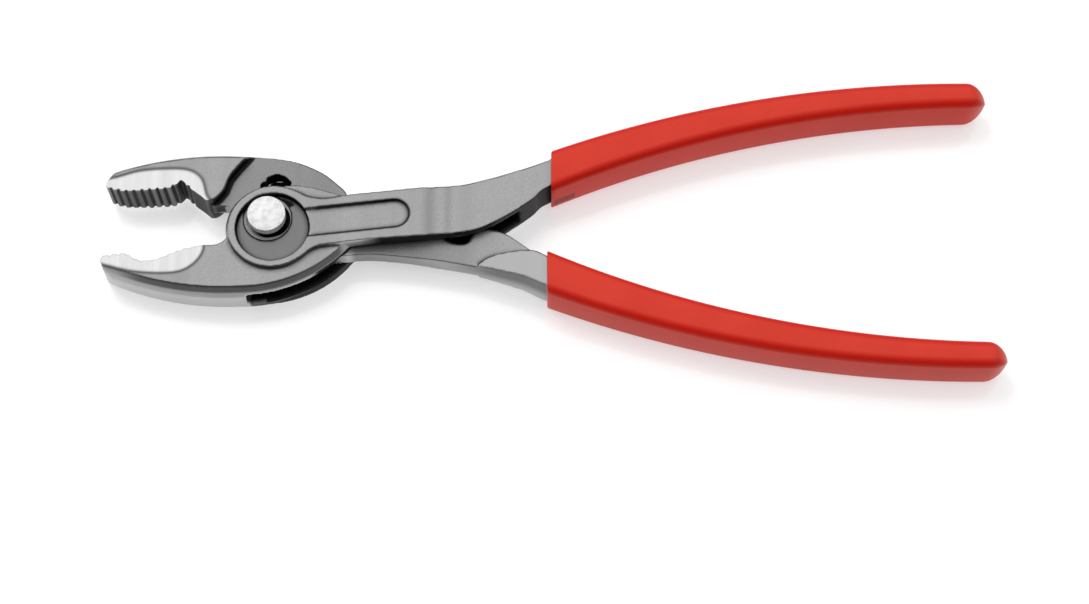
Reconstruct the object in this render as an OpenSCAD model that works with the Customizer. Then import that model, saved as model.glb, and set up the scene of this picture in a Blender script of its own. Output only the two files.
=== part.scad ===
// Push-button slip-joint pliers with a box joint and front-gripping jaws.
// Millimetres. Origin: joint bolt axis, on the flat back. Jaws to -X, handles to +X, button up (+Z).

/* [Head] */
// Thickness of the head and of the grips
head_t = 11.5; // [11:0.1:12.5]
// Height of the jaw and cheek plates above the flat back
plate_t = 10.3; // [10.1:0.1:10.8]
// Thickness of the tongue that passes between the cheeks
tongue_t = 4.0; // [3.6:0.1:4.2]
// Free play each side of the tongue
tongue_play = 0.12; // [0.08:0.02:0.2]
// Outer radius of the raised ring
ring_r = 9.9; // [9.7:0.1:10.2]
// Radius of the round recess inside the ring
recess_r = 8.2; // [8.0:0.1:8.4]
// Depth of the round recess
recess_d = 2.0; // [1.6:0.1:2.2]
// Depth of the blank panel beside the ring
panel_d = 0.9; // [0.4:0.1:1.2]

/* [Jaws] */
// Distance between teeth on the upper jaw
tooth_pitch = 1.75; // [1.5:0.05:2]
// Depth of the upper jaw's grooves
tooth_d = 0.8; // [0.4:0.05:1.0]
// Depth of the lower jaw's grooves
fine_tooth_d = 0.35; // [0.2:0.05:0.5]

/* [Joint] */
// Number of width settings
settings = 5; // [4:1:5]
// Distance between two settings
setting_pitch = 2.15; // [1.8:0.05:2.15]
// Lean of the adjusting slot towards the handles, degrees
slot_lean = 10.4; // [9:0.2:12]
// Width of the adjusting slot
slot_w = 5.6; // [5.5:0.05:5.8]
// Bolt diameter in the back cheek
bolt_d = 5.4; // [5:0.1:5.6]
// Diameter of the bolt's cupped head
bolt_head_d = 10.6; // [10:0.1:10.8]
// Diameter of the push button
button_d = 8.4; // [8:0.1:8.6]
// How far the push button goes in
button_travel = 1.5; // [1:0.1:1.5]

/* [Grips] */
// Wall of the dipped grips
grip_wall = 1.2; // [1:0.05:1.4]
// Rounding of the grips' long edges
grip_round = 2.0; // [1.2:0.1:2.4]
// Where the upper grip starts
upper_grip_x = 63.4; // [63:0.1:66]
// Where the lower grip starts
lower_grip_x = 62.5; // [62.2:0.1:66]
// Where both grips end
grip_end_x = 163.4; // [160:0.2:168]

/* [Hidden] */
$fn = 96;
mid = head_t / 2;                       // middle plane of the tool
ring_c = [1.3, -2.7];                   // ring centre
floor_z = head_t - recess_d;            // floor of the round recess
slot_hz = tongue_t / 2 + tongue_play;   // half gap between the cheeks
neck_room = 2.65;                       // half gap where the thicker neck goes in
bolt_flat = slot_w - 0.2;               // across the bolt's flats
bolt_long = 6.2;                        // bolt core, along the slot
slot_travel = (settings - 1) * setting_pitch;
run_fit = 0.05;                         // radial clearance of turning fits
cup_gap = 0.5;                          // dark gap round the button
cup_floor_z = mid + slot_hz + 0.8;      // bottom of the bolt's cup
head_z0 = mid + slot_hz + 0.1;          // underside of the bolt's head
collar_z = 1.0;                         // depth of the recess in the back
collar_r = 4.3;                         // retaining collar on the back
spring_seat_z = 3.2;                    // floor of the spring's bore
spring_bore_r = 1.8;
tail_r = 0.75;                          // thin lower end of the button's stem
stem_r = 1.1;
clip_room_r = 1.7;
button_under = cup_floor_z + button_travel + 0.1;
stem_z = spring_seat_z + button_travel + 0.2;   // shoulder of the button's stem
button_rim = head_t + 0.75;
button_crown = 0.8;                     // height of the dome above its rim
clip_z = spring_seat_z - 0.8;           // top of the stem clip
clip_t = 0.5;
wire_r = 0.2;
spring_r = 1.5;
handle_mirror_y = -1.05;                // the handles mirror about this line
outer_c = [157.2, -227.2];              // centre of the grip's outer arc
outer_r = 261.2;
inner_c = [163.3, -216.2];              // centre of the grip's inner arc
inner_r = 244.0;
core_end_x = grip_end_x - 5;
core_inset_z = 1.1;
arcs_meet_x = -5;                       // where the belly's two arcs meet
reach = 30;                             // longer than any section cut

// ---- curves through points ----
function bend(a, b, c, d, t) =
    0.5 * (2 * b + (c - a) * t + (2 * a - 5 * b + 4 * c - d) * t * t
           + (3 * b - a - 3 * c + d) * t * t * t);
function curve(p, n = 5) = concat(
    [for (i = [0 : len(p) - 2], k = [0 : n - 1])
        bend(p[max(i - 1, 0)], p[i], p[i + 1], p[min(i + 2, len(p) - 1)], k / n)],
    [p[len(p) - 1]]);

// Outlines, clockwise or anticlockwise as drawn
lower_bite = [[-36.3, -9.1], [-31.3, -8.7], [-29.3, -9.8], [-27.3, -10.5], [-24.3, -10.2],
              [-21.3, -8.9], [-18.3, -7.7], [-13.9, -6.8], [-10.8, -6.5], [-9.0, -5.2]];
head_belly = [[20.8, -6.6], [17.4, -9.6], [16.2, -10.8], [13, -16], [0, -21], [-20, -21], [-30, -17.5],
              [-34.0, -14.0], [-36.0, -12.2], [-36.8, -10.3]];
lever_top = [[1.9, 7.2], [4.9, 6.45], [6.9, 5.7], [8.65, 4.8], [10.9, 4.3], [13.9, 4.3],
             [17.9, 5.1], [24.9, 5.9], [34, 6.9], [43.1, 7.7], [52.2, 10.3], [62.2, 14.0],
             [70, 17.2]];
lever_bottom = [[70, 10.8], [61.9, 7.1], [59.4, 4.7], [54.9, 1.3], [48.5, -2.5], [43.1, -4.1],
                [34, -5.0], [24.9, -5.7], [19.9, -6.3], [14.9, -6.95], [11.9, -7.4],
                [9.9, -8.4], [8.65, -9.55], [6.9, -10.8], [4.9, -11.8]];
upper_back = [[-4.2, 18], [-20, 19], [-33, 14], [-35.4, 11.2], [-36.5, 9.6], [-36.8, 8.2]];
upper_bite = [[-36.4, 7.5], [-32.3, 6.7], [-23.3, 7.1], [-21.3, 7.8], [-19.8, 8.8],
              [-17.3, 6.9], [-15.3, 5.4], [-13.8, 4.1]];
jaw_step = [[-12.6, 4.3], [-11.4, 5.2], [-10.0, 7.2], [-9.0, 10.2], [-7.1, 13.0],
            [-4.9, 15.7], [-4.2, 16.8]];
tongue_dome = [[-6.0, 15.9], [-4.1, 16.3], [1.4, 15.9], [6.4, 14.8], [11.5, 12.4], [15.0, 9.6],
               [17.2, 7.3], [18.1, 3.6], [19.6, 0], [24, -2.4], [38.2, -2.6], [39.6, -4.3],
               [42.2, -5.4], [44.6, -5.2], [45.5, -3.7], [46.8, -2.0], [49.4, -1.8],
               [53.1, -2.9], [56.7, -5.4], [59.4, -7.4], [61.9, -9.1], [66, -10.9]];
tongue_belly = [[66, -17.6], [61.9, -16.4], [57.9, -14.5], [54.9, -13.5], [46.6, -11.3], [34.7, -9.2],
                [24.6, -8.1], [19.6, -8.2], [10, -9.2], [3.6, -8.3], [-1, -6.4], [-6.6, -3.0],
                [-8.0, 0], [-9.0, 3.6], [-12.7, 3.9]];
slot_room = [[-3.6, -20], [-4.4, -16.6], [-7.6, -14.8], [-10.4, -12.4], [-13.2, -9.4],
             [-14.4, -4], [-16.6, 3], [-16.6, 22],
             [10, 22], [17.0, 10.2]];
slot_ceiling = [[19.0, 3.4], [21, 2.4], [25, 1.6], [32, 2.2], [38.5, 3.0], [50.5, 5.2],
                [53.8, 4.3], [56.6, 2.4], [57, -22]];
pad_edge = [[46.9, -14], [47.0, -11.6], [47.7, -10.4], [49.9, -9.1], [52.2, -8.4],
            [55.8, -7.9], [59, -7.9], [64, -9.6]];

module slab(z0, z1) { translate([0, 0, z0]) linear_extrude(z1 - z0) children(); }

// A solid seen from the side: the outline is drawn in X and Z
module side_cut() { translate([0, 40, 0]) rotate([90, 0, 0]) linear_extrude(80) children(); }

// Straight grooves along a bite line; each is a three-sided prism through the jaw
module grooves(p, first, count, depth, up) {
    for (i = [0 : count - 1]) {
        x = first + i * tooth_pitch;
        k = [for (j = [0 : len(p) - 2]) if (p[j][0] <= x && x < p[j + 1][0]) j][0];
        t = (x - p[k][0]) / (p[k + 1][0] - p[k][0]);
        y = p[k][1] + t * (p[k + 1][1] - p[k][1]);
        tilt = atan2(p[k + 1][1] - p[k][1], p[k + 1][0] - p[k][0]);
        translate([x, y, -1]) rotate(tilt) linear_extrude(head_t + 2)
            polygon([[-tooth_pitch * 0.46, -up * depth], [tooth_pitch * 0.46, -up * depth],
                     [0, up * depth]]);
    }
}

// ---- handle arcs, upper handle ----
module rounded_bar(w0, w1, z0, z1, c) {
    translate([w0 + c, z0]) square([w1 - w0 - c, z1 - z0]);
    translate([w0, z0 + c]) square([w1 - w0, z1 - z0 - 2 * c]);
    for (z = [z0 + c, z1 - c]) translate([w0 + c, z]) circle(c);
}
module grip_block(inset, x0, x1, z0, z1, c) {
    intersection() {
        translate([outer_c[0], outer_c[1], 0]) rotate_extrude($fn = 360)
            mirror([1, 0]) translate([-outer_r + inset, 0])
                rounded_bar(0, outer_r - inset, z0, z1, c);
        translate([inner_c[0], inner_c[1], 0]) rotate_extrude($fn = 360)
            rounded_bar(inner_r + inset, inner_r + reach, z0, z1, c);
        translate([x0, -20, z0 - 1]) cube([x1 - x0, 80, z1 - z0 + 2]);
    }
}
module core(x0) {
    grip_block(grip_wall, x0, core_end_x, core_inset_z, head_t - core_inset_z, 0.6);
}
// Rounded end of the grip, cut once in plan and once from the side
module grip_end() {
    plan_r = 5.0;
    lean_y = 1.95;                      // the two arcs cross at the end
    mid_y = 30.9;
    slab(-1, head_t + 1) {
        x1 = grip_end_x - sqrt(plan_r * plan_r - lean_y * lean_y);
        translate([0, -30]) square([x1, 80]);
        intersection_for (s = [-1, 1]) translate([x1, mid_y + s * lean_y]) circle(plan_r);
    }
}
module grip_end_side() {
    side_r = 5.0;
    side_cut() {
        square([grip_end_x - side_r, head_t]);
        translate([0, side_r]) square([grip_end_x, head_t - 2 * side_r]);
        for (z = [side_r, head_t - side_r]) translate([grip_end_x - side_r, z]) circle(side_r);
    }
}
module grip(x0) {
    difference() {
        intersection() {
            grip_block(0, x0, grip_end_x + 1, 0, head_t, grip_round);
            grip_end();
            grip_end_side();
        }
        grip_block(grip_wall - 0.02, 50, core_end_x + 0.02, core_inset_z - 0.02,
                   head_t - core_inset_z + 0.02, 0.6);
    }
}
module mirrored() {
    translate([0, 2 * handle_mirror_y, 0]) mirror([0, 1, 0]) children();
}

// ---- box lever: lower jaw, both cheeks, upper handle ----
// Forged sides: widest at the middle plane, drawn in towards both faces
module drafted_disc(c, r, z0, z1) {
    draft = 1.8;
    under_draft = 1.1;
    land = 1.5;
    translate([c[0], c[1], 0]) rotate_extrude($fn = 720)
        polygon([[0, z0], [r - under_draft, z0], [r, mid - land], [r, mid + land],
                 [r - draft, z1], [0, z1]]);
}
module belly_side(c, r, x0, x1) {
    intersection() {
        drafted_disc(c, r, 0, plate_t);
        translate([x0, -40, -1]) cube([x1 - x0, 100, head_t + 2]);
    }
}
// Under the slot the back cheek is fuller, with an upright side
module back_belly() {
    intersection() {
        slab(0, mid - slot_hz) translate([-1.6, 8.2]) circle(25.2, $fn = 360);
        translate([arcs_meet_x, -40, -1]) cube([40, 60, mid]);
    }
}
// The back cheek reaches further up, behind the far end of the adjusting slot
module back_cheek_plan() {
    translate([5, 3.5]) circle(8.6);
    polygon([[-1, 0], [-1, 11], [-0.2, 12.1], [5, 12.1], [5, 0]]);
}
module cheek_plan() {
    polygon(concat(curve(lower_bite), [[0, 0], [19.9, 0]], head_belly));
    translate(ring_c) circle(ring_r + 0.6);
    polygon([[3, 0], [3.4, 7.75], [6.1, 8.0], [9.8, 7.5], [12.8, 6.6], [17.9, 5.1], [24, 0]]);
}
module raised_plan() {
    translate(ring_c) circle(ring_r);
    polygon(concat(curve(lever_top), curve(lever_bottom)));
}
module panel_plan() {
    translate([28.4, 0.55]) {
        circle(3.4);
        rotate(6.6) translate([-21, -3.4]) square([21, 6.8]);
    }
}
module lever_side() {
    side_cut() polygon([[-40, 0.9], [-30, 0.3], [-20, 0], [34, 0], [60, core_inset_z],
                        [75, core_inset_z], [75, head_t - core_inset_z],
                        [60, head_t - core_inset_z], [34, head_t], [-20, head_t],
                        [-40, plate_t - 0.9]]);
}
module box_lever() {
    color([0.62, 0.62, 0.63]) difference() {
        union() {
            intersection() {
                union() {
                    intersection() {
                        union() {
                            slab(0, plate_t) cheek_plan();
                            slab(0, mid) back_cheek_plan();
                        }
                        union() {
                            belly_side([-9.35, 46.7], 65.35, -60, arcs_meet_x);
                            belly_side([-5.65, 13.55], 32.1, arcs_meet_x, 40);
                            back_belly();
                        }
                    }
                    slab(0, head_t) raised_plan();
                }
                lever_side();
            }
            core(upper_grip_x);
        }
        // recess, panel, slot for the tongue
        translate([0, 0, floor_z]) slab(0, 5) translate(ring_c) circle(recess_r);
        translate([0, 0, head_t - panel_d]) slab(0, 5) panel_plan();
        slab(mid - slot_hz, mid + slot_hz) polygon(concat(slot_room, slot_ceiling));
        slab(mid - neck_room, mid + neck_room)
            polygon([[30, -22], [30, 1.9], [38.5, 3.0], [50.5, 5.2], [53.8, 4.3], [56.6, 2.4],
                     [57, -22]]);
        // bolt bores and the collar's recess
        translate([0, 0, mid]) cylinder(r = bolt_head_d / 2 + run_fit, h = mid);
        translate([0, 0, -1]) cylinder(r = bolt_d / 2 + run_fit, h = mid);
        translate([0, 0, -1]) cylinder(r = collar_r + 0.2, h = collar_z + 1);
        grooves(lower_bite, -34.5, 11, fine_tooth_d, -1);
    }
}

// ---- tongue lever: upper jaw, tongue, neck, lower handle ----
module jaw_plan() { polygon(concat(upper_back, curve(upper_bite), curve(jaw_step))); }
module tongue_plan() {
    polygon(concat(curve(tongue_dome), curve(tongue_belly), [[-13.3, 4.6], [-11.5, 12]]));
}
module adjusting_slot() {
    near = bolt_long / 2 + 0.25;
    far = slot_travel + near;
    notch_r = 1.0;
    rotate(-slot_lean) {
        translate([-slot_w / 2, -near + 1]) square([slot_w, far + near - 2]);
        intersection() {
            for (s = [0, slot_travel]) translate([0, s]) circle(near);
            translate([-slot_w / 2, -near]) square([slot_w, far + near]);
        }
        for (i = [0 : settings - 1], s = [-1, 1])
            translate([s * slot_w / 2, i * setting_pitch]) circle(notch_r);
    }
}
module tongue_lever() {
    th = tongue_t / 2;
    color([0.55, 0.55, 0.56]) difference() {
        union() {
            intersection() {
                slab(0, plate_t) jaw_plan();
                drafted_disc([-11.0, -56.15], 73.0, 0, plate_t);
                side_cut() polygon([[-40, 1.0], [-30, 0.6], [-20, 0.4], [0, 0.4],
                                    [0, plate_t], [-20, plate_t], [-40, plate_t - 0.9]]);
            }
            slab(mid - th, mid + th) tongue_plan();
            // neck, thicker towards the handle, with the raised pad
            intersection() {
                slab(0, head_t) tongue_plan();
                side_cut() polygon([[32, mid - th], [45, mid - th - 1.0], [60, core_inset_z],
                                    [67, core_inset_z], [67, head_t - core_inset_z],
                                    [60, head_t - core_inset_z], [45, mid + th + 1.0],
                                    [32, mid + th]]);
                union() {
                    slab(mid - th - 0.4, mid + th + 0.4) square([80, 80], center = true);
                    slab(mid - th - 0.4, mid + th + 0.4) translate([40, -30]) square([40, 60]);
                    slab(0, head_t) polygon(concat(curve(pad_edge), [[70, -9.6], [70, -20],
                                                                    [46.9, -20]]));
                }
            }
            mirrored() core(lower_grip_x);
        }
        slab(-1, head_t) adjusting_slot();
        grooves(upper_bite, -35.6, 11, tooth_d, 1);
    }
}

// ---- bolt and its collar ----
module joint_bolt() {
    color([0.45, 0.45, 0.47]) difference() {
        union() {
            translate([0, 0, 0.15]) cylinder(d = bolt_d, h = mid);
            intersection() {
                translate([0, 0, mid - slot_hz + 0.1]) cylinder(d = bolt_long, h = 2 * slot_hz);
                rotate(-slot_lean) translate([-bolt_flat / 2, -5, 0]) cube([bolt_flat, 10, 20]);
            }
            translate([0, 0, head_z0]) cylinder(d = bolt_head_d, h = floor_z - 0.05 - head_z0);
        }
        translate([0, 0, cup_floor_z]) cylinder(r = button_d / 2 + cup_gap, h = 5);
        translate([0, 0, spring_seat_z]) cylinder(r = spring_bore_r, h = 10);
        cylinder(r = tail_r + run_fit, h = 10);
        translate([0, 0, -1]) cylinder(r = clip_room_r, h = 1 + clip_z + 0.02);
    }
}
module bolt_collar() {
    color([0.4, 0.4, 0.42]) difference() {
        translate([0, 0, 0.2]) cylinder(r = collar_r, h = collar_z - 0.25);
        translate([0, 0, -1]) cylinder(d = bolt_d + 0.02, h = 4);
    }
}

// ---- push button, spring, clip ----
module push_button() {
    cap_r = button_d / 2;
    dome_r = (cap_r * cap_r + button_crown * button_crown) / (2 * button_crown);
    color([0.86, 0.86, 0.87]) {
        intersection() {
            translate([0, 0, button_under])
                cylinder(r = cap_r, h = button_rim + button_crown - button_under);
            translate([0, 0, button_rim + button_crown - dome_r]) sphere(dome_r, $fn = 200);
        }
        translate([0, 0, stem_z]) cylinder(r = stem_r, h = button_under - stem_z + 0.5);
        translate([0, 0, clip_z - clip_t - 0.15]) cylinder(r = tail_r, h = 4);
    }
}
module button_spring() {
    coils = 7;
    z0 = spring_seat_z + wire_r + 0.02;
    z1 = button_under - wire_r - 0.02;
    color([0.6, 0.6, 0.62]) for (i = [0 : coils - 1])
        translate([0, 0, z0 + i * (z1 - z0) / (coils - 1)])
            rotate_extrude() translate([spring_r, 0]) circle(wire_r, $fn = 24);
}
module stem_clip() {
    color([0.35, 0.35, 0.37]) difference() {
        translate([0, 0, clip_z - clip_t - 0.03]) cylinder(r = clip_room_r - 0.25, h = clip_t);
        cylinder(r = tail_r + 0.01, h = 10);
    }
}

// ---- grips ----
module upper_grip() { color([0.8, 0.12, 0.08]) grip(upper_grip_x); }
module lower_grip() { color([0.8, 0.12, 0.08]) mirrored() grip(lower_grip_x); }

box_lever();
tongue_lever();
joint_bolt();
bolt_collar();
push_button();
button_spring();
stem_clip();
upper_grip();
lower_grip();
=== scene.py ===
"""Looks for the push-button slip joint pliers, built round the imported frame. Metres."""
import math

import bmesh
import bpy
import numpy as np
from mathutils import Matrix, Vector


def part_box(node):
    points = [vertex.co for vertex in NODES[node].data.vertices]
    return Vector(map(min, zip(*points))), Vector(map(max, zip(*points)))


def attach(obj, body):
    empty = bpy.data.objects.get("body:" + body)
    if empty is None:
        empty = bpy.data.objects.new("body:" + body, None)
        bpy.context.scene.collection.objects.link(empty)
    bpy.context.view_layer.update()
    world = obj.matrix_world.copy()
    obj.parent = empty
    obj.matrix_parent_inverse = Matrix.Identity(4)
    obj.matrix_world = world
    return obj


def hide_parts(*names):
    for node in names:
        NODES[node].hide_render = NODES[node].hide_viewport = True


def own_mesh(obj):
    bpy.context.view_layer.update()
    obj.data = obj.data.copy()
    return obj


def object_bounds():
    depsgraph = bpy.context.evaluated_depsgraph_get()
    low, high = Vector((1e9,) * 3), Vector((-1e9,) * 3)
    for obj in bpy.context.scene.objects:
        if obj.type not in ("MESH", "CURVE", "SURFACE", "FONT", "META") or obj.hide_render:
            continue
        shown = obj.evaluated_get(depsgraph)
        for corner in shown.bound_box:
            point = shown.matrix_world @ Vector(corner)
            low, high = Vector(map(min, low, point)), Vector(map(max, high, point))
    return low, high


MM = 0.001

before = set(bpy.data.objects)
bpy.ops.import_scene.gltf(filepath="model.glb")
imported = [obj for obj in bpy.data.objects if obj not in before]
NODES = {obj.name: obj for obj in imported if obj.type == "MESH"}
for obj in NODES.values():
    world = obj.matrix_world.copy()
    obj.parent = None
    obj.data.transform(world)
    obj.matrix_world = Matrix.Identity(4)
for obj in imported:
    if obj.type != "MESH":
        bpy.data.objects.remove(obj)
SIZE_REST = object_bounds()

# ---- named values, in millimetres, in the row frame ----
MID_Z = 5.75                      # middle plane of the tool
HEAD_T = 11.5                     # thickness of the head
VOXEL = 0.285                     # mesh size of the forged levers
SMOOTH_STEPS = 4                  # how often the levers' mesh is relaxed
TEETH_HOLD = 0.85                 # how far the teeth keep their cut edges, 1 being all the way
HOLLOW_SPREAD = 4                 # how far the shade in the inside corners spreads
EDGING = 0.38                     # half width of the painted shade line round the ground zones
PANEL_EDGING = 0.32               # the same round the panel
GROUND_DEPTH = 0.12               # how much the ground zones lie below the forged face
GROUND_FADE = 0.3                 # width of the step down to a ground zone
CUT_X = 66.0                      # the levers are remeshed up to here; the rest is in the grips
RING_C = (1.3, -2.7)              # centre of the round recess
RECESS_R = 8.2                    # its radius
WINDOW_C = (2.0, 7.6)             # middle of the window over the joint
SLOT_C = (2.0, 7.0)               # middle of the adjusting slot

# The dipped grips; both handles lie between two arcs, the lower one mirrored
HANDLE_MIRROR_Y = -1.05
OUTER_C, OUTER_R = (157.2, -227.2), 261.2
INNER_C, INNER_R = (163.3, -216.2), 244.0
GRIP_END_X = 163.4
GRIP_WALL = 1.2                   # wall at the sides
CORE_INSET_Z = 1.1                # wall over the top and under the back
GRIP_ROUND = 2.0                  # rounding of the long edges
LIP = 0.35                        # rounding of the grips' open ends
STATION_GAP = 2.0                 # distance between the grips' sections
TIP, TIP_POWER = 4.9, 0.72        # length and pointedness of the grips' ends
TIP_STEPS, TIP_LEAST = 14, 0.04   # sections in an end, and how small the last one is
NOTCH = ((64.0, 68.8), (0.0, 12.0), (2.4, 5.0))   # small mark on the upper grip's inner side

# Edge of the bright ground zone on each jaw, as it runs over the face
UPPER_GROUND = [(-40, 9.0), (-34.6, 10.3), (-29.3, 11.8), (-23.3, 12.2), (-18.3, 11.8),
                (-15.3, 9.8), (-13.9, 5.8), (-12.6, 1.0), (-25, -3), (-40, 3)]
LOWER_GROUND = [(-40, -10.8), (-36.5, -11.2), (-30.3, -13.0), (-24.3, -13.6), (-19.3, -13.3),
                (-16.3, -11.8), (-14.3, -9.3), (-13.7, -6.4), (-14, 0), (-40, 0)]

# The blank panel beside the ring: the ends of its middle line, and its half width
PANEL_LINE = [(28.4, 0.55), (7.54, -1.86)]
PANEL_HALF = 3.4

# The push button and the shadow beside it
BUTTON_R = 4.2
SHADOW_SHIFT = (0.95, -0.35)

# Foot of the wall behind the upper jaw, and how far the painted shadow spreads from it
JAW_STEP = [(-11.4, 5.2), (-10.0, 7.2), (-9.0, 10.2), (-7.1, 13.0), (-4.9, 15.7), (-4.2, 16.8)]
JAW_STEP_DARK = 1.1

# Two soft painted reflection bands across the upper lever: X, half width, strength
SHEEN_BANDS = [(36.2, 1.5, 1.0), (40.3, 0.9, 0.7)]

# ---- looks ----
MASK_GAIN = 6000.0                # sharpness of the edges of shapes drawn in a material, per metre
# Noise sizes of the forged steel
FINE, CLOUD, STREAK, BANDS = 2600, 160, 420, 130
# What is laid over the bare steel, in order: mask, strength, grey. The bend mask is negative
# on the outside corners, so there it's the second of its two lines that shows. Bend paints shade
# into the inside corners and highlights onto the outside ones; flange is painted light, bevel,
# shade and brow are painted shade, and sheen is a painted reflection.
STEEL_LAYERS = [("disc", 0.85, 0.215), ("bend", 8.0, 0.008), ("bend", -0.7, 0.58),
                ("flange", 0.75, 0.50), ("bevel", 0.8, 0.06), ("shade", 1.0, 0.06),
                ("pad", 0.6, 0.58), ("sheen", 0.45, 0.20), ("brow", 0.8, 0.06)]

# The red dip: the two shades of its slow waves, its grain, its long edges, darker as a painted
# dark reflection, and the notch
RED_LOW, RED_HIGH, RED_GRAIN = (0.62, 0.038, 0.022), (0.68, 0.048, 0.028), (0.68, 0.065, 0.045)
RED_EDGE, RED_NOTCH = (0.56, 0.008, 0.002), (0.27, 0.014, 0.006)

# The studio: white all round, with a dark patch behind the camera. Places are in metres.
DARK_SIDE = (0.0, -0.85, 0.53)
DARK_FROM, DARK_TO = 0.68, 0.95   # where the patch starts and is full, as a cosine
SKY_LIGHT, SKY_DARK = 0.94, 0.14
HORIZON = 0.25                    # how bright the studio is near the table, against overhead
HORIZON_FROM, HORIZON_TO = 0.05, 0.55
KEY_PLACE, KEY_AIM = (-0.65, 0.85, 1.75), (0.06, 0, 0)
KEY_SIZE, KEY_WATTS = (0.9, 0.7), 16
FLOOR_GLOW = 0.50                 # lifts the floor to the white of a studio table
FLOOR_HALF, FLOOR_GAP = 3.0, 0.0001

# The camera: place in millimetres, lens and sensor in millimetres, degrees below the horizon
CAMERA_PLACE = (61.9, -214.2, 461.25)
LENS, SENSOR, CAMERA_DOWN = 73.9, 36.0, 66.77


# ---- mesh helpers ----
def new_object(name, bm, body):
    mesh = bpy.data.meshes.new(name)
    bm.to_mesh(mesh)
    bm.free()
    ob = bpy.data.objects.new(name, mesh)
    bpy.context.scene.collection.objects.link(ob)
    for p in mesh.polygons:
        p.use_smooth = True
    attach(ob, body)
    return ob


def cut_copy(source, x_mm, keep_left):
    """A closed copy of a mesh, cut off at one X and capped."""
    bm = bmesh.new()
    bm.from_mesh(source.data)
    bmesh.ops.remove_doubles(bm, verts=bm.verts, dist=1e-6)
    geom = [*bm.verts, *bm.edges, *bm.faces]
    cut = bmesh.ops.bisect_plane(bm, geom=geom, plane_co=(x_mm * MM, 0, 0), plane_no=(1, 0, 0),
                                 clear_outer=keep_left, clear_inner=not keep_left)
    edges = [e for e in cut["geom_cut"] if isinstance(e, bmesh.types.BMEdge) and e.is_valid]
    bmesh.ops.holes_fill(bm, edges=edges)
    return bm


def remesh(bm, voxel_mm):
    """The same solid as an even quad mesh."""
    mesh = bpy.data.meshes.new("work")
    bm.to_mesh(mesh)
    ob = bpy.data.objects.new("work", mesh)
    bpy.context.scene.collection.objects.link(ob)
    mod = ob.modifiers.new("remesh", "REMESH")
    mod.mode = "VOXEL"
    mod.voxel_size = voxel_mm * MM
    dg = bpy.context.evaluated_depsgraph_get()
    out = bmesh.new()
    out.from_mesh(ob.evaluated_get(dg).to_mesh())
    bpy.data.objects.remove(ob)
    bpy.data.meshes.remove(mesh)
    return out


def inside(poly, x, y):
    """True for the points that lie in a closed outline."""
    hit = np.zeros(len(x), bool)
    for (x0, y0), (x1, y1) in zip(poly, poly[1:] + poly[:1]):
        span = (y0 > y) != (y1 > y)
        t = (y - y0) / ((y1 - y0) or 1e-9)
        hit ^= span & (x < x0 + t * (x1 - x0))
    return hit


def distance(poly, x, y, closed=True):
    """Distance to the nearest side of an outline."""
    best = np.full(len(x), 1e9)
    for (x0, y0), (x1, y1) in zip(poly, poly[1:] + poly[:1 if closed else 0]):
        dx, dy = x1 - x0, y1 - y0
        t = np.clip(((x - x0) * dx + (y - y0) * dy) / (dx * dx + dy * dy), 0, 1)
        best = np.minimum(best, np.hypot(x - x0 - t * dx, y - y0 - t * dy))
    return best


def smooth_curve(points, steps=6):
    """The same outline with a curve through its points."""
    p = np.array(points, float)
    n = len(p)
    out = []
    for i in range(n):
        a, b, c, d = p[i - 1], p[i], p[(i + 1) % n], p[(i + 2) % n]
        for k in range(steps):
            t = k / steps
            out.append(tuple(0.5 * (2 * b + (c - a) * t + (2 * a - 5 * b + 4 * c - d) * t * t
                                    + (3 * b - a - 3 * c + d) * t ** 3)))
    return out


def paint(ob, name, values):
    layer = ob.data.attributes.new(name, "FLOAT", "POINT")
    layer.data.foreach_set("value", np.asarray(values, np.float32))


# ---- forged levers ----
def edges_of(bm):
    bm.verts.index_update()
    return np.array([(e.verts[0].index, e.verts[1].index) for e in bm.edges])


def spread(edges, count, values):
    """The mean of each vertex's neighbours."""
    return (np.bincount(edges[:, 0], values[edges[:, 1]], len(count))
            + np.bincount(edges[:, 1], values[edges[:, 0]], len(count))) / count


def relax(bm, steps, hold, factor=0.5):
    """Rounds the edges as a forging's are; hold is how far each vertex is kept as cut."""
    co = np.array([v.co for v in bm.verts])
    edges = edges_of(bm)
    count = np.maximum(np.bincount(edges.ravel(), minlength=len(co)), 1)
    move = factor * (1 - hold(co / MM))[:, None]
    for _ in range(steps):
        mean = np.stack([spread(edges, count, co[:, k]) for k in range(3)], 1)
        co += move * (mean - co)
    for v, p in zip(bm.verts, co):
        v.co = p
    return edges, count


def hollows(bm, edges, count):
    """Positive in the inside corners, negative on the outside ones; painted shade goes into the
    first and painted highlights onto the second.
    """
    bm.normal_update()
    co = np.array([v.co for v in bm.verts])
    no = np.array([v.normal for v in bm.verts])
    mean = np.stack([spread(edges, count, co[:, k]) for k in range(3)], 1)
    bend = ((mean - co) * no).sum(1) / MM / VOXEL
    for _ in range(HOLLOW_SPREAD):
        bend = 0.5 * bend + 0.5 * spread(edges, count, bend)
    return bend


def step(x, lo, hi):
    """Rises smoothly from 0 at lo to 1 at hi."""
    t = np.clip((x - lo) / (hi - lo), 0, 1)
    return t * t * (3 - 2 * t)


def off(co, centre):
    """Distance from an upright axis."""
    return np.hypot(co[:, 0] - centre[0], co[:, 1] - centre[1])


def teeth_hold(co):
    """The teeth, the bites and the window over the joint keep their cut edges."""
    bites = step(-co[:, 0], 12.0, 15.0) * step(9.5 - np.abs(co[:, 1]), 0.0, 1.0)
    window = step(5.5 - off(co, WINDOW_C), 0.0, 1.0)
    return TEETH_HOLD * np.maximum(bites, window)


def upright(no):
    """True of walls, but not of faces that look up or down."""
    return step(0.75 - np.abs(no[:, 2]), 0.0, 0.2)


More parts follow.
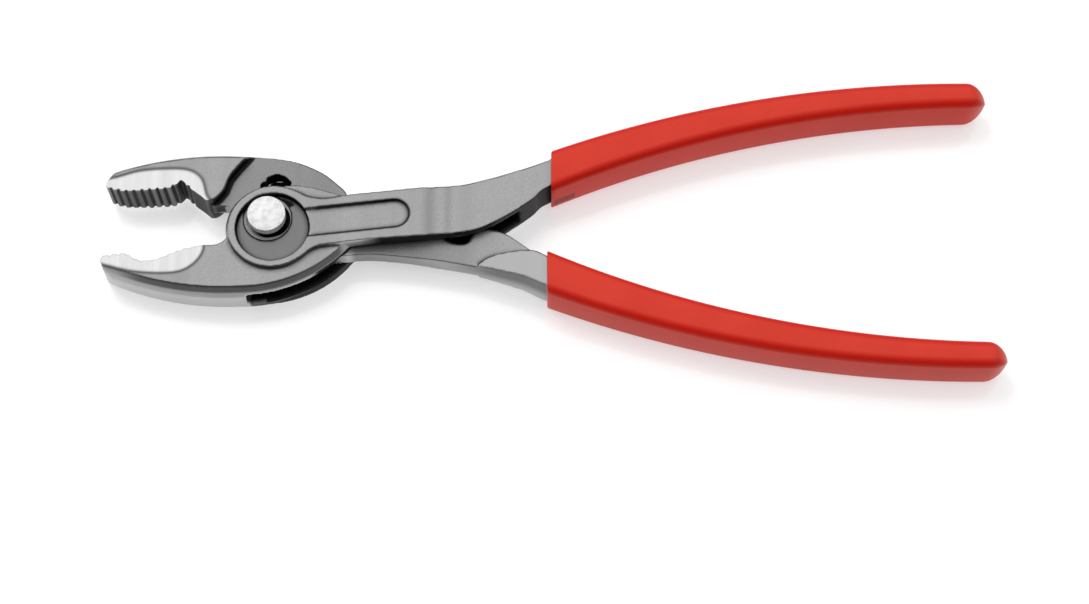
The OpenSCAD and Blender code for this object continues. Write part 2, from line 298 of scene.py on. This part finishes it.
def dark_walls_box(co, no):
    """Painted black: the lever's lower flank, as its forged black oxide and as painted shade, and
    painted shade on the back cheek and on the walls of the tongue's slot, of the window over the
    joint and of the round recess."""
    x, y, z = co.T
    flank = step(-no[:, 1], 0.3, 0.6) * upright(no) * step(x, 20, 26)
    under = step(x, -3.9, -3.4) * step(7.9 - z, 0, 0.4) * step(-y, 6, 7) * step(z, 0.3, 0.5)
    bore = step(2.95 - np.abs(z - MID_Z), 0, 0.15) * step(x, 10, 12)
    bore *= step(0.3 - no[:, 1], 0, 0.2)
    window = step(9.7 - z, 0, 0.2) * step(z, 2.9, 3.1) * step(y, 2, 3)
    window *= step(6 - off(co, WINDOW_C), 0, 0.5)
    recess = step(0.45 - np.abs(off(co, RING_C) - RECESS_R), 0, 0.2) * upright(no)
    recess *= step(11.2 - z, 0, 0.2) * step(z, 8.5, 9)
    return np.clip(flank + under + bore + window + recess, 0, 1)


def dark_walls_tongue(co, no):
    """Painted black: the teeth as forged black oxide, painted shade on the step behind the jaw and
    inside the joint, and a painted shadow along the step's foot.
    """
    x, y, z = co.T
    teeth = step(-no[:, 1], 0.1, 0.5) * upright(no) * step(-x, 11.2, 11.8) * step(y, 0.0, 0.6)
    jaw_step = step(0.985 - no[:, 2], 0, 0.03) * step(x, -13.5, -12.8) * step(y, 3.0, 4.0)
    jaw_step *= step(no[:, 0] - 0.2 * no[:, 1], 0.0, 0.1) * step(z, 4, 5)
    inner = step(1.75 - np.abs(z - MID_Z), 0, 0.1) * step(6.5 - off(co, SLOT_C), 0, 0.5)
    foot = step(JAW_STEP_DARK - distance(JAW_STEP, x, y, False), 0, 0.35)
    foot *= step(8.4 - z, 0, 0.2)
    return np.clip(teeth + jaw_step + inner + foot, 0, 1)


def belly_bevel(co, no):
    """The darker upper part of the lower jaw's outer side, painted shade."""
    x, y, z = co.T
    side = step(-no[:, 1], 0.25, 0.5) * step(-y, 6, 8) * step(18 - x, 0, 2)
    return side * step(z, 8.5, 8.9) * step(x, -37, -26)


def panel_line(co, no):
    """The painted shade line round the blank panel."""
    x, y, z = co.T
    gap = np.abs(distance(PANEL_LINE, x, y, False) - PANEL_HALF + 0.1)
    return np.exp(-(gap / PANEL_EDGING) ** 2) * step(x, 10.4, 11.4) * step(z, 9.8, 10.2)


def neck_band(co, no):
    """The darker upper part of the neck's outer side, near the grip, painted shade."""
    x, y, z = co.T
    side = step(-no[:, 1], 0.25, 0.6) * step(-y, 5, 6) * step(x, 38, 52)
    return side * step(z, 2.5, 7.0)


def flange(co, no):
    """The paler lower part of the levers' outer sides, painted light."""
    x, y, z = co.T
    low = step(-no[:, 1], 0.25, 0.6) * step(-y, 5, 6) * step(8.7 - z, 0, 0.3)
    return low * (1 - 0.5 * step(x, 20, 34))


def recess_floor(co):
    """The darker floor of the round recess."""
    return step(RECESS_R + 0.2 - off(co, RING_C), 0, 0.3) * step(co[:, 2], 8, 9)


def neck_shade(co):
    """The neck, which is darker towards the joint, and the tongue between the cheeks."""
    x, z = co[:, 0], co[:, 2]
    tongue = 0.3 * step(18 - x, 0, 1) * step(8.4 - z, 0, 0.2)
    return 0.6 * step(58 - x, 0, 38) * step(x, 18, 20) + tongue


def neck_pad(co, no):
    """The paler raised face of the neck, next to the grip."""
    return step(co[:, 2], 8.2, 8.6) * step(co[:, 0], 45, 46.5) * step(no[:, 2], 0.4, 0.7)


def top_edges(co, no):
    """The dark line along the top edges that look away from the camera, painted shade."""
    return step(no[:, 1], 0.12, 0.4) * step(no[:, 2], 0.05, 0.2) * step(co[:, 2], 9, 10)


def sheen_bands(co, no):
    """Soft bands across the upper lever's face, painted reflections."""
    bands = sum(k * np.exp(-((co[:, 0] - x) / w) ** 2) for x, w, k in SHEEN_BANDS)
    return bands * step(no[:, 2], 0.8, 0.95)


def one_sided(body, co, no):
    """The masks that only one of the two levers has."""
    none = np.zeros(len(co))
    if body == "box":
        return {"bevel": belly_bevel(co, no), "shade": none, "pad": none,
                "sheen": sheen_bands(co, no)}
    return {"bevel": neck_band(co, no), "shade": neck_shade(co), "pad": neck_pad(co, no),
            "sheen": none}


def add_shank(bm, source):
    """Adds the part of the lever that lies inside its grip, as cut."""
    core = cut_copy(source, CUT_X, False)
    rest = bpy.data.meshes.new("rest")
    core.to_mesh(rest)
    core.free()
    bm.from_mesh(rest)
    bpy.data.meshes.remove(rest)


def lever(node, body, ground_outline, dark_walls):
    """A lever as an even, slightly rounded mesh that carries the masks for its paint."""
    source = NODES[node]
    bm = remesh(cut_copy(source, CUT_X, True), VOXEL)
    edges, count = relax(bm, SMOOTH_STEPS, teeth_hold)
    bend = hollows(bm, edges, count)
    co = np.array([v.co for v in bm.verts]) / MM
    no = np.array([v.normal for v in bm.verts])
    outline = smooth_curve(ground_outline)
    x, y = co[:, 0], co[:, 1]
    signed = np.where(inside(outline, x, y), 1, -1) * distance(outline, x, y)
    ground = np.clip(signed / GROUND_FADE + 0.5, 0, 1)
    for v, g, n in zip(bm.verts, ground, no):
        v.co.z -= g * n[2] * GROUND_DEPTH * MM
    skin_and_shade = dark_walls(co, no)
    # Painted shade: a dark line round the ground zones and the panel.
    rim = np.exp(-(signed / EDGING) ** 2) * (np.abs(no[:, 2]) > 0.5)
    if body == "box":
        rim = np.maximum(rim, panel_line(co, no))
    masks = {"bend": np.where((skin_and_shade > 0.3) & (x > 0), np.maximum(bend, 0), bend),
             "ground": ground * (1 - skin_and_shade), "edging": rim, "skin_and_shade": skin_and_shade,
             "disc": recess_floor(co), "flange": flange(co, no), "brow": top_edges(co, no),
             **one_sided(body, co, no)}
    add_shank(bm, source)
    ob = new_object(node + "_forging", bm, body)
    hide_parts(node)
    total = len(ob.data.vertices)
    for name, values in masks.items():
        paint(ob, name, np.pad(values, (0, total - len(values))))
    return ob


# ---- dipped grips ----
def section(half_w, half_t, r, per_corner=7):
    """Rounded rectangle, closed, anticlockwise, centred on the origin."""
    r = min(r, half_w * 0.98, half_t * 0.98)
    out = []
    for k, (sx, sy) in enumerate([(1, 1), (-1, 1), (-1, -1), (1, -1)]):
        for j in range(per_corner):
            a = math.pi / 2 * (k + j / (per_corner - 1))
            out.append((sx * (half_w - r) + r * math.cos(a), sy * (half_t - r) + r * math.sin(a)))
    return out


def arc_y(c, r, x):
    return c[1] + math.sqrt(r * r - (x - c[0]) ** 2)


def grip_stations(x0):
    """The grip's sections from its open end to its tip: X, growth and scale of each."""
    out = [(x0 + 2.5, -GRIP_WALL, 1.0), (x0 + 0.1, -GRIP_WALL, 1.0),
           (x0, -GRIP_WALL + 0.2, 1.0), (x0, -LIP, 1.0), (x0 + 0.1, -LIP * 0.35, 1.0),
           (x0 + LIP, 0.0, 1.0)]
    x = x0 + GRIP_WALL
    while x < GRIP_END_X - TIP - 1:
        out.append((x, 0.0, 1.0))
        x += STATION_GAP
    for k in range(TIP_STEPS + 1):
        t = math.sin(k / TIP_STEPS * math.pi / 2)
        out.append((GRIP_END_X - TIP + TIP * t, 0.0, max((1 - t * t) ** TIP_POWER, TIP_LEAST)))
    return out


def grip_ring(bm, x, grow, scale, side):
    """The vertices of one section."""
    outer, inner = arc_y(OUTER_C, OUTER_R, x), arc_y(INNER_C, INNER_R, x)
    middle, half_w = (outer + inner) / 2, (outer - inner) / 2 + grow
    half_t = HEAD_T / 2 + (grow if grow > -GRIP_WALL else -CORE_INSET_Z)
    r = max(GRIP_ROUND + grow, 0.5) * max(scale, 0.3)
    ring = []
    for w, t in section(half_w * scale, half_t * scale, r):
        y = middle + w
        if side < 0:
            y = 2 * HANDLE_MIRROR_Y - y
        ring.append(bm.verts.new((x * MM, y * MM, (MID_Z + t) * MM)))
    return ring


def grip(node, body, x0, side):
    """side is 1 for the upper handle and -1 for the lower one."""
    bm = bmesh.new()
    rings = [grip_ring(bm, *station, side) for station in grip_stations(x0)]
    n = len(rings[0])
    corner = [math.sin(math.pi * (i % (n // 4)) / (n // 4 - 1)) for i in range(n)]
    for a, b in zip(rings, rings[1:]):
        for i in range(n):
            f = (a[i], a[(i + 1) % n], b[(i + 1) % n], b[i])
            bm.faces.new(f if side > 0 else f[::-1])
    bm.faces.new(rings[-1] if side > 0 else rings[-1][::-1])
    bmesh.ops.recalc_face_normals(bm, faces=bm.faces)
    ob = new_object(node + "_sleeve", bm, body)
    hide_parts(node)
    paint(ob, "corner", corner * len(rings))
    return ob


# ---- spring ----
def spring():
    """The CAD rings of the spring, as a copy of its mesh."""
    ob = bpy.data.objects.new("spring_wire", NODES["button_spring"].data.copy())
    bpy.context.scene.collection.objects.link(ob)
    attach(ob, "button")
    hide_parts("button_spring")
    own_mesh(ob)
    return ob


# ---- materials ----
class Nodes:
    """A short way to write a material's nodes."""

    def __init__(self, name):
        self.mat = bpy.data.materials.new(name)
        self.mat.use_nodes = True
        self.tree = self.mat.node_tree
        self.bsdf = self.tree.nodes["Principled BSDF"]

    def add(self, kind, inputs=None, **props):
        n = self.tree.nodes.new(kind)
        for k, v in props.items():
            setattr(n, k, v)
        for k, v in (inputs or {}).items():
            self.plug(n.inputs[k], v)
        return n

    def plug(self, socket, value):
        """Links an output to a socket, or sets the socket's own value."""
        if hasattr(value, "is_output"):
            self.tree.links.new(value, socket)
        elif socket.type == "RGBA":
            socket.default_value = (*value, 1)
        else:
            socket.default_value = value

    def link(self, out, socket):
        self.tree.links.new(out, self.bsdf.inputs[socket])

    def place(self, scale):
        tc = self.add("ShaderNodeTexCoord")
        return self.add("ShaderNodeMapping", {"Vector": tc.outputs["Object"],
                                              "Scale": scale}).outputs[0]

    def noise(self, scale, detail=3.0, rough=0.6, stretch=(1, 1, 1)):
        n = self.add("ShaderNodeTexNoise", {"Vector": self.place(stretch), "Scale": scale,
                                            "Detail": detail, "Roughness": rough})
        return n.outputs["Fac"]

    def ramp(self, fac, stops):
        n = self.add("ShaderNodeValToRGB", {"Fac": fac})
        el = n.color_ramp.elements
        while len(el) < len(stops):
            el.new(0.5)
        for e, (pos, col) in zip(el, stops):
            e.position = pos
            e.color = (*col, 1)
        return n.outputs["Color"]

    def mix(self, fac, a, b):
        n = self.add("ShaderNodeMix", data_type="RGBA", clamp_factor=True)
        for socket, v in ((n.inputs[0], fac), (n.inputs[6], a), (n.inputs[7], b)):
            self.plug(socket, v)
        return n.outputs[2]

    def blend(self, fac, a, b):
        n = self.add("ShaderNodeMix", data_type="FLOAT")
        for socket, v in ((n.inputs[0], fac), (n.inputs[2], a), (n.inputs[3], b)):
            self.plug(socket, v)
        return n.outputs[0]

    def math(self, kind, a, b=0.0):
        n = self.add("ShaderNodeMath", operation=kind)
        for socket, v in zip(n.inputs, (a, b)):
            self.plug(socket, v)
        return n.outputs[0]

    def clamp(self, value):
        return self.math("MINIMUM", self.math("MAXIMUM", value, 0.0), 1.0)

    def window(self, box):
        """1 inside a box given in millimetres of the row frame, 0 outside."""
        tc = self.add("ShaderNodeTexCoord")
        xyz = self.add("ShaderNodeSeparateXYZ", {"Vector": tc.outputs["Object"]})
        out = None
        for axis, (lo, hi) in zip("XYZ", box):
            gap = self.math("ABSOLUTE", self.math("SUBTRACT", xyz.outputs[axis],
                                                  (lo + hi) / 2 * MM))
            one = self.math("MULTIPLY", self.math("SUBTRACT", (hi - lo) / 2 * MM, gap), MASK_GAIN)
            one = self.clamp(one)
            out = one if out is None else self.math("MULTIPLY", out, one)
        return out

    def mask(self, name):
        n = self.add("ShaderNodeAttribute", attribute_name=name)
        return n.outputs["Fac"]

    def bump(self, height, strength, depth):
        n = self.add("ShaderNodeBump", {"Height": height, "Strength": strength,
                                        "Distance": depth})
        return n.outputs["Normal"]


def grey(v):
    return (v, v, v * 1.01)


def forged_steel():
    m = Nodes("forged_steel")
    fine = m.noise(FINE, 3.0, 0.75)
    cloud = m.noise(CLOUD, 4.0, 0.6)
    streak = m.noise(STREAK, 3.0, 0.6, (1.0, 0.10, 0.4))
    bands = m.noise(BANDS, 2.0, 0.5, (1.0, 0.03, 0.1))
    base = m.ramp(fine, [(0.30, grey(0.36)), (0.70, grey(0.56))])
    base = m.mix(m.math("MULTIPLY", cloud, 0.45), base, grey(0.36))
    base = m.mix(m.ramp(bands, [(0.45, grey(0.0)), (0.62, grey(0.45))]), base, grey(0.33))
    base = m.mix(m.math("MULTIPLY", streak, 0.35), base, grey(0.50))
    for name, strength, shade in STEEL_LAYERS:
        base = m.mix(m.math("MULTIPLY", m.mask(name), strength), base, grey(shade))
    ground, skin_and_shade = m.mask("ground"), m.mask("skin_and_shade")
    bright = m.ramp(streak, [(0.3, grey(0.80)), (0.7, grey(0.93))])
    base = m.mix(ground, base, bright)
    # Painted shade: the dark line round the ground zones and the panel.
    base = m.mix(m.math("MULTIPLY", m.mask("edging"), 0.85), base, grey(0.03))
    black = m.ramp(fine, [(0.3, grey(0.008)), (0.7, grey(0.022))])
    # Painted highlight: the outside corners of the black walls, such as the teeth's crests, are
    # lighter.
    black = m.mix(m.math("MULTIPLY", m.mask("bend"), -5.0), black, grey(0.42))
    m.link(m.mix(skin_and_shade, base, black), "Base Color")
    m.bsdf.inputs["Metallic"].default_value = 1.0
    rough = m.math("ADD", m.math("MULTIPLY", fine, 0.16), 0.30)
    rough = m.blend(ground, rough, 0.26)
    m.link(m.blend(skin_and_shade, rough, 0.5), "Roughness")
    height = m.math("ADD", m.math("MULTIPLY", fine, 0.7), m.math("MULTIPLY", cloud, 0.6))
    flat = m.math("SUBTRACT", 1.0, m.math("MULTIPLY", ground, 0.8))
    m.link(m.bump(m.math("MULTIPLY", height, flat), 0.35, 0.00010), "Normal")
    return m.mat


def red_dip():
    m = Nodes("red_dip")
    wave = m.noise(90, 3.0, 0.5)
    grain = m.noise(2600, 2.0, 0.6)
    col = m.ramp(wave, [(0.3, RED_LOW), (0.7, RED_HIGH)])
    col = m.mix(m.math("MULTIPLY", grain, 0.25), col, RED_GRAIN)
    # Painted dark reflection: the long rounded edges are a darker red.
    col = m.mix(m.math("MULTIPLY", m.mask("corner"), 0.9), col, RED_EDGE)
    notch = m.window(NOTCH)
    m.link(m.mix(m.math("MULTIPLY", notch, 0.9), col, RED_NOTCH), "Base Color")
    m.link(m.math("ADD", m.math("MULTIPLY", grain, 0.10), 0.26), "Roughness")
    m.bsdf.inputs["Specular IOR Level"].default_value = 0.12
    height = m.math("ADD", m.math("MULTIPLY", grain, 0.3), wave)
    height = m.math("SUBTRACT", height, m.math("MULTIPLY", notch, 1.5))
    m.link(m.bump(height, 0.15, 0.0002), "Normal")
    return m.mat


def polished():
    m = Nodes("polished_steel")
    mottle = m.noise(900, 4.0, 0.6)
    m.link(m.ramp(mottle, [(0.35, grey(0.70)), (0.6, grey(0.93))]), "Base Color")
    m.bsdf.inputs["Metallic"].default_value = 0.35
    m.link(m.math("ADD", m.math("MULTIPLY", mottle, 0.2), 0.18), "Roughness")
    m.link(m.bump(mottle, 0.25, 0.00008), "Normal")
    return m.mat


def dark_steel():
    m = Nodes("dark_steel")
    fine = m.noise(3000, 3.0, 0.6)
    m.link(m.ramp(fine, [(0.3, grey(0.24)), (0.7, grey(0.34))]), "Base Color")
    m.bsdf.inputs["Metallic"].default_value = 0.9
    m.link(m.math("ADD", m.math("MULTIPLY", fine, 0.2), 0.4), "Roughness")
    m.link(m.bump(fine, 0.3, 0.00005), "Normal")
    return m.mat


def bolt_steel():
    """As the recess's floor, with a painted shadow: a dark crescent beside the push button."""
    m = Nodes("bolt_steel")
    fine = m.noise(2600, 3.0, 0.75)
    base = m.ramp(fine, [(0.3, grey(0.28)), (0.7, grey(0.36))])
    tc = m.add("ShaderNodeTexCoord")
    flat = m.add("ShaderNodeVectorMath", {0: tc.outputs["Object"], 1: (1, 1, 0)},
                 operation="MULTIPLY").outputs["Vector"]
    centre = (SHADOW_SHIFT[0] * MM, SHADOW_SHIFT[1] * MM, 0)
    gap = m.add("ShaderNodeVectorMath", {0: flat, 1: centre}, operation="DISTANCE")
    dark = m.math("SUBTRACT", (BUTTON_R + 0.1) * MM, gap.outputs["Value"])
    dark = m.clamp(m.math("MULTIPLY", dark, MASK_GAIN))
    m.link(m.mix(dark, base, grey(0.006)), "Base Color")
    m.bsdf.inputs["Metallic"].default_value = 1.0
    m.link(m.math("ADD", m.math("MULTIPLY", fine, 0.16), 0.32), "Roughness")
    m.link(m.bump(fine, 0.3, 0.00005), "Normal")
    return m.mat


def floor_paint():
    m = Nodes("pale_floor")
    fine = m.noise(60, 3.0, 0.5)
    m.link(m.ramp(fine, [(0.3, grey(0.56)), (0.7, grey(0.58))]), "Base Color")
    m.link(m.math("ADD", m.math("MULTIPLY", fine, 0.04), 0.10), "Roughness")
    m.bsdf.inputs["Specular IOR Level"].default_value = 0.8
    m.bsdf.inputs["Emission Color"].default_value = (1, 1, 1, 1)
    m.bsdf.inputs["Emission Strength"].default_value = FLOOR_GLOW
    return m.mat


# ---- stage ----
def stage():
    bm = bmesh.new()
    bm.faces.new([bm.verts.new((x * FLOOR_HALF, y * FLOOR_HALF, 0)) for x, y in
                  ((-1, -1), (1, -1), (1, 1), (-1, 1))])
    mesh = bpy.data.meshes.new("floor")
    bm.to_mesh(mesh)
    bm.free()
    floor = bpy.data.objects.new("floor", mesh)
    floor.location.z = SIZE_REST[0].z - FLOOR_GAP
    bpy.context.scene.collection.objects.link(floor)
    mesh.materials.append(floor_paint())


def soft_light(name, place, aim, size, watts):
    """Lights the surfaces without showing as a hot spot in the steel."""
    data = bpy.data.lights.new(name, "AREA")
    data.shape = "RECTANGLE"
    data.size, data.size_y = size
    data.energy = watts
    ob = bpy.data.objects.new(name, data)
    ob.location = place
    ob.rotation_mode = "QUATERNION"
    ob.rotation_quaternion = (Vector(aim) - Vector(place)).to_track_quat("-Z", "Y")
    ob.visible_glossy = False
    bpy.context.scene.collection.objects.link(ob)


def lights():
    soft_light("key", KEY_PLACE, KEY_AIM, KEY_SIZE, KEY_WATTS)
    world = bpy.data.worlds.new("studio")
    world.use_nodes = True
    tree = world.node_tree
    place = tree.nodes.new("ShaderNodeTexCoord").outputs["Generated"]
    dot = tree.nodes.new("ShaderNodeVectorMath")
    dot.operation = "DOT_PRODUCT"
    dot.inputs[1].default_value = DARK_SIDE
    tree.links.new(place, dot.inputs[0])
    height = tree.nodes.new("ShaderNodeSeparateXYZ")
    tree.links.new(place, height.inputs[0])
    both = tree.nodes.new("ShaderNodeMix")
    both.data_type, both.blend_type = "RGBA", "MULTIPLY"
    both.inputs[0].default_value = 1.0
    patch = (dot.outputs["Value"], (DARK_FROM, SKY_LIGHT), (DARK_TO, SKY_DARK))
    rise = (height.outputs["Z"], (HORIZON_FROM, HORIZON), (HORIZON_TO, 1.0))
    for (out, *stops), socket in zip((patch, rise), (both.inputs[6], both.inputs[7])):
        ramp = tree.nodes.new("ShaderNodeValToRGB")
        ramp.color_ramp.interpolation = "EASE"
        for e, (pos, v) in zip(ramp.color_ramp.elements, stops):
            e.position = pos
            e.color = (v, v, v, 1)
        tree.links.new(out, ramp.inputs[0])
        tree.links.new(ramp.outputs[0], socket)
    tree.links.new(both.outputs[2], tree.nodes["Background"].inputs["Color"])
    bpy.context.scene.world = world


def camera():
    data = bpy.data.cameras.new("camera")
    data.sensor_width = SENSOR
    data.lens = LENS
    cam = bpy.data.objects.new("camera", data)
    cam.location = Vector(CAMERA_PLACE) * MM
    cam.rotation_euler = (math.radians(90 - CAMERA_DOWN), 0, 0)
    data.clip_start, data.clip_end = 0.01, 20
    bpy.context.scene.collection.objects.link(cam)
    bpy.context.scene.camera = cam


# ---- build ----
steel, red, bright, dark = forged_steel(), red_dip(), polished(), dark_steel()
box_part = lever("box_lever", "box", LOWER_GROUND, dark_walls_box)
tongue_part = lever("tongue_lever", "tongue", UPPER_GROUND, dark_walls_tongue)
upper = grip("upper_grip", "box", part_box("upper_grip")[0].x / MM, 1)
lower = grip("lower_grip", "tongue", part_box("lower_grip")[0].x / MM, -1)
for ob, mat in ((box_part, steel), (tongue_part, steel), (upper, red), (lower, red),
                (spring(), dark), (NODES["joint_bolt"], bolt_steel()),
                (NODES["bolt_collar"], dark), (NODES["stem_clip"], dark),
                (NODES["push_button"], bright)):
    ob.data.materials.clear()
    ob.data.materials.append(mat)
stage()
lights()
camera()
bpy.context.scene.view_settings.view_transform = "Standard"
